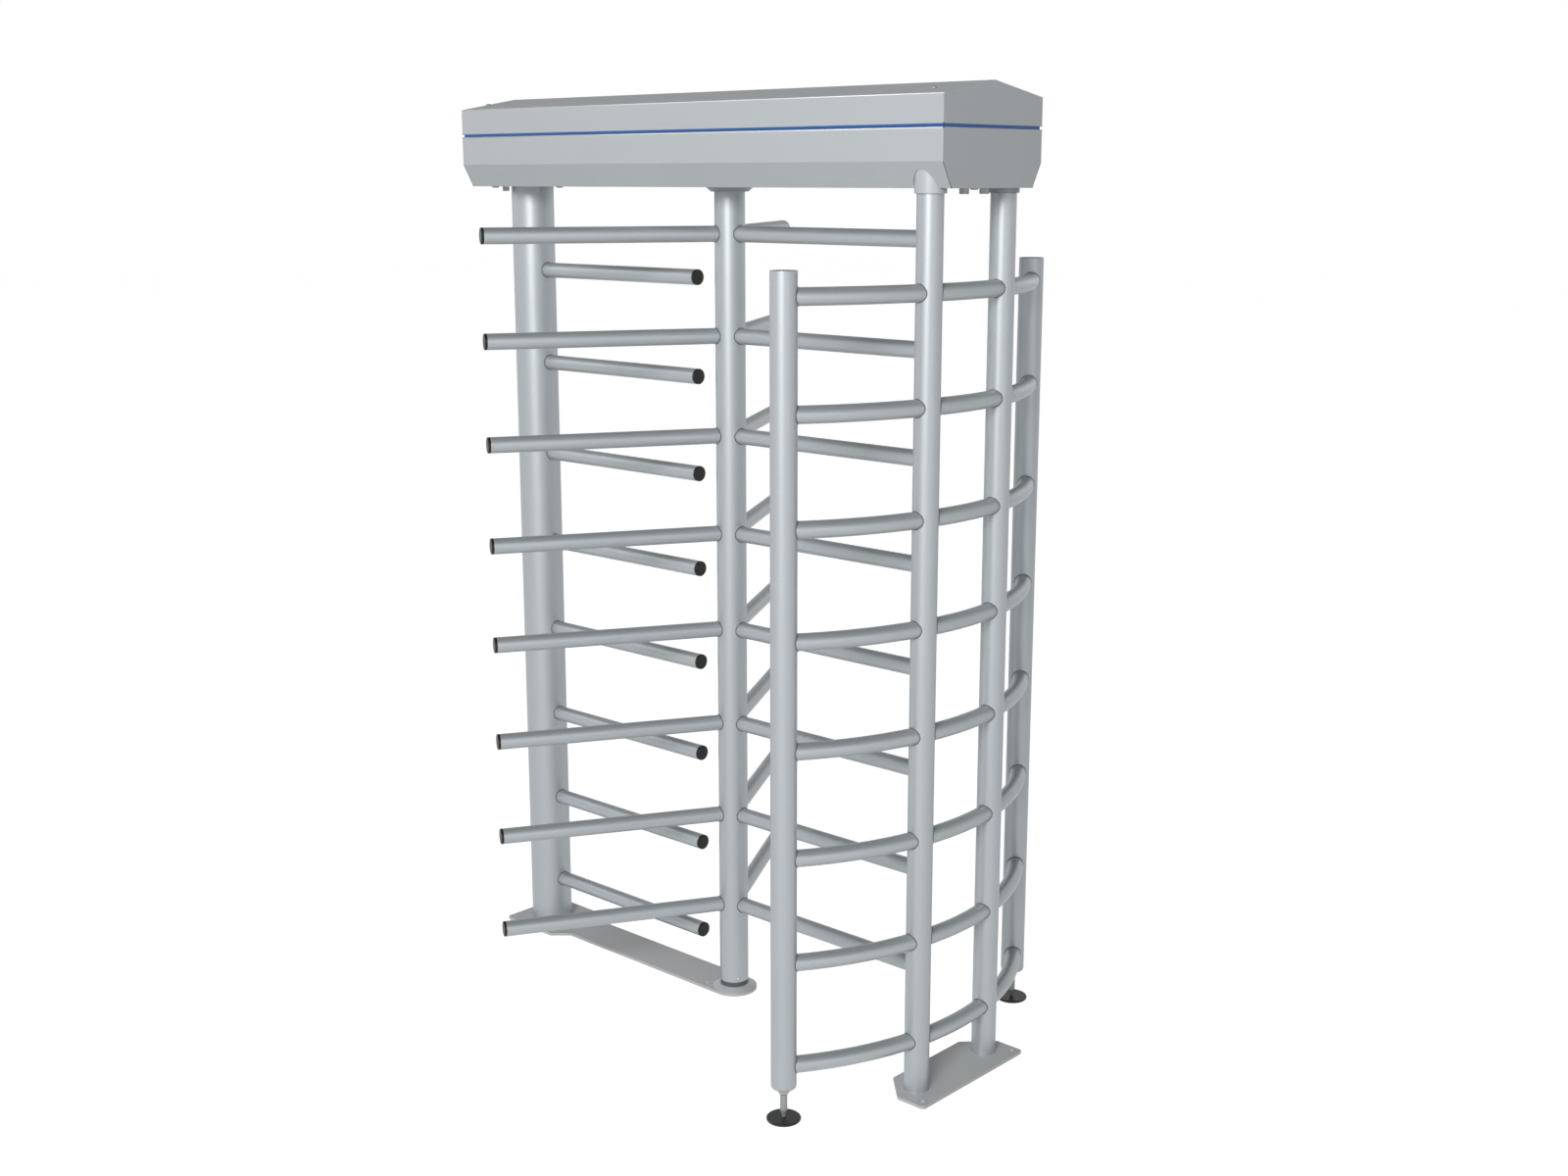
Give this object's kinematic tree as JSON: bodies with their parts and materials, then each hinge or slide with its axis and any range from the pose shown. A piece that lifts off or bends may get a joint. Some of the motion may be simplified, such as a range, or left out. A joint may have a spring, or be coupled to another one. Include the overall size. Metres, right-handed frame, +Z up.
{
  "type": "revolving gate",
  "caption": "Full-height revolving gate: a rotor with three wings of tubular arms between a comb column and a curved cage, under a gabled housing that holds the lock.",
  "frame": {"origin": "on the floor, on the rotor's axis", "axes": "+Z up along the rotor, +X along the housing from the column towards the cage, -Y the front"},
  "size_m": [1.6385, 1.0914, 2.35],
  "materials": {
    "satin_steel": "satin, finely bead-blasted",
    "plate_steel": "satin",
    "housing_steel": "satin silver with a fine speckle",
    "zinc_steel": "zinc plated",
    "black_plastic": "fine grained black",
    "black_rubber": "matt black",
    "seal_grey": "matt dark grey",
    "gland_grey": "matt grey",
    "strip_blue": "satin blue",
    "bronze": "turned",
    "dark_case": "dark grey"
  },
  "bodies": {
    "frame": {"column": "satin_steel", "column_foot_plate": "plate_steel", "comb_arms": "satin_steel", "comb_arm_caps": "black_plastic", "front_tall_post": "satin_steel", "rear_tall_post": "satin_steel", "front_short_post": "satin_steel", "rear_short_post": "satin_steel", "short_post_caps": "satin_steel", "foot_bushes": "satin_steel", "cage_foot_plate": "plate_steel", "front_rungs": "satin_steel", "middle_rungs": "satin_steel", "rear_rungs": "satin_steel", "post_sleeves": "housing_steel", "housing_tray": "housing_steel", "housing_cover": "housing_steel", "light_strip": "strip_blue", "cover_screws": "zinc_steel", "cable_glands": "gland_grey", "blind_plugs": "zinc_steel", "rotor_collar": "housing_steel", "mounting_plate": "zinc_steel", "bearing_housing": "zinc_steel", "bearing_outer_ring": "zinc_steel", "bearing_balls": "zinc_steel", "bearing_screws": "zinc_steel", "lock_plate": "zinc_steel", "plate_standoffs": "zinc_steel", "pawl_pins": "zinc_steel", "solenoids": "dark_case", "damper_body": "dark_case", "control_box": "dark_case", "power_supply": "zinc_steel", "floor_pivot": "satin_steel"},
    "rotor": {"rotor_tube": "satin_steel", "wing_a_arms": "satin_steel", "wing_a_caps": "black_plastic", "wing_b_arms": "satin_steel", "wing_b_caps": "black_plastic", "wing_c_arms": "satin_steel", "wing_c_caps": "black_plastic", "rotor_shaft": "zinc_steel", "bearing_inner_ring": "zinc_steel", "index_wheel": "zinc_steel", "drive_gear": "zinc_steel", "shaft_nut": "zinc_steel", "rotor_foot_plug": "zinc_steel", "pivot_bush": "bronze", "seal_ring": "seal_grey", "grub_screws": "zinc_steel"},
    "front_pawl": {"front_pawl": "zinc_steel"},
    "rear_pawl": {"rear_pawl": "zinc_steel"},
    "front_plunger": {"front_plunger": "zinc_steel"},
    "rear_plunger": {"rear_plunger": "zinc_steel"},
    "damper_pinion": {"damper_pinion": "zinc_steel"},
    "front_foot": {"front_foot_rod": "zinc_steel", "front_foot_pad": "black_rubber"},
    "rear_foot": {"rear_foot_rod": "zinc_steel", "rear_foot_pad": "black_rubber"}
  },
  "joints": [
    {"name": "rotor_spin", "type": "hinge", "parent": "frame", "child": "rotor", "pos_m": [0, 0, 0.008], "axis": [0, 0, 1], "continuous": true},
    {"name": "rear_pawl_swing", "type": "hinge", "parent": "frame", "child": "rear_pawl", "pos_m": [-0.08, 0.112, 2.196], "axis": [0, 0, 1], "range_deg": [-8, 0], "stiffness_Nm_per_rad": 2},
    {"name": "front_pawl_swing", "type": "hinge", "parent": "frame", "child": "front_pawl", "pos_m": [-0.08, -0.112, 2.196], "axis": [0, 0, 1], "range_deg": [0, 8], "stiffness_Nm_per_rad": 2},
    {"name": "rear_plunger_slide", "type": "slide", "parent": "frame", "child": "rear_plunger", "axis": [1, 0, 0], "range_m": [0, 0.0056]},
    {"name": "front_plunger_slide", "type": "slide", "parent": "frame", "child": "front_plunger", "axis": [1, 0, 0], "range_m": [0, 0.0056]},
    {"name": "damper_spin", "type": "hinge", "parent": "frame", "child": "damper_pinion", "pos_m": [0.117, 0, 2.2], "axis": [0, 0, 1], "continuous": true},
    {"name": "front_foot_screw", "type": "slide", "parent": "frame", "child": "front_foot", "axis": [0, 0, 1], "range_m": [-0.02, 0.02]},
    {"name": "rear_foot_screw", "type": "slide", "parent": "frame", "child": "rear_foot", "axis": [0, 0, 1], "range_m": [-0.02, 0.02]}
  ],
  "couplings": [
    {"joint": "damper_spin", "follows": "rotor_spin", "ratio": -3.3333},
    {"joint": "rear_plunger_slide", "follows": "rear_pawl_swing", "m_per_rad": -0.04},
    {"joint": "front_plunger_slide", "follows": "front_pawl_swing", "m_per_rad": 0.04}
  ]
}
